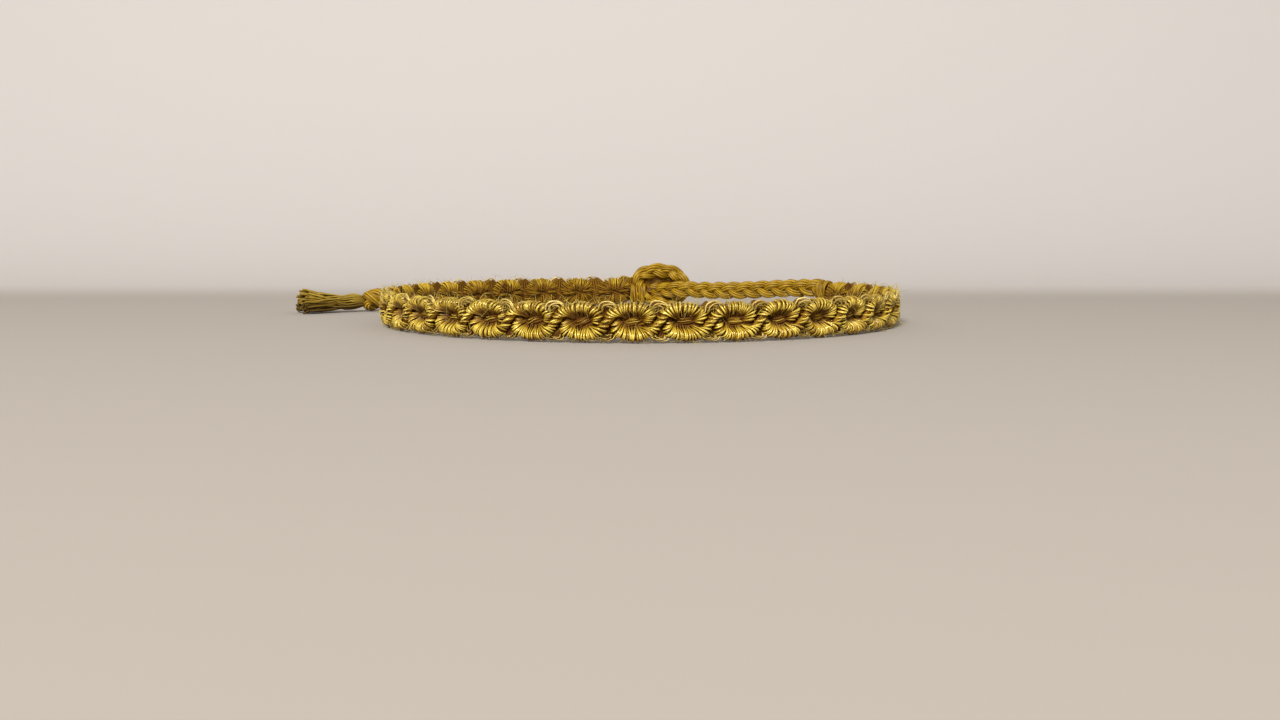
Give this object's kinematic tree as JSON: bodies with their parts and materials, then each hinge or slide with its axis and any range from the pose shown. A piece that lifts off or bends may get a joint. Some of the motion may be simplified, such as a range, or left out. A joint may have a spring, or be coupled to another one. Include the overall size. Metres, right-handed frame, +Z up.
{
  "type": "macrame bracelet",
  "caption": "Closed knotted cotton bracelet: a wavy band of half-hitch ropes, a plaited strap through a closure loop, a stopper knot and a loose plaited tail with a tassel.",
  "frame": {"origin": "on the surface the bracelet stands on, under the middle of the box of the band, loop and strap; the ring's own middle is 0.7 mm in front of it", "axes": "+Z up along the wrist's axis, front of the band towards -Y, closure loop and strap towards +Y, tassel towards -X"},
  "size_m": [0.0728, 0.0649, 0.0058],
  "materials": {
    "knotted_cotton": "silky mercerised cotton floss in half-hitch knots",
    "plaited_cotton": "mercerised cotton floss in a three-strand plait",
    "loose_cotton": "loose cut cotton threads"
  },
  "bodies": {
    "root": {"wave_band": "knotted_cotton", "closure_loop": "plaited_cotton", "strap_braid": "plaited_cotton", "stopper_knot": "plaited_cotton", "tail_braid": "plaited_cotton", "end_knot": "plaited_cotton", "tassel": "loose_cotton"}
  },
  "joints": []
}
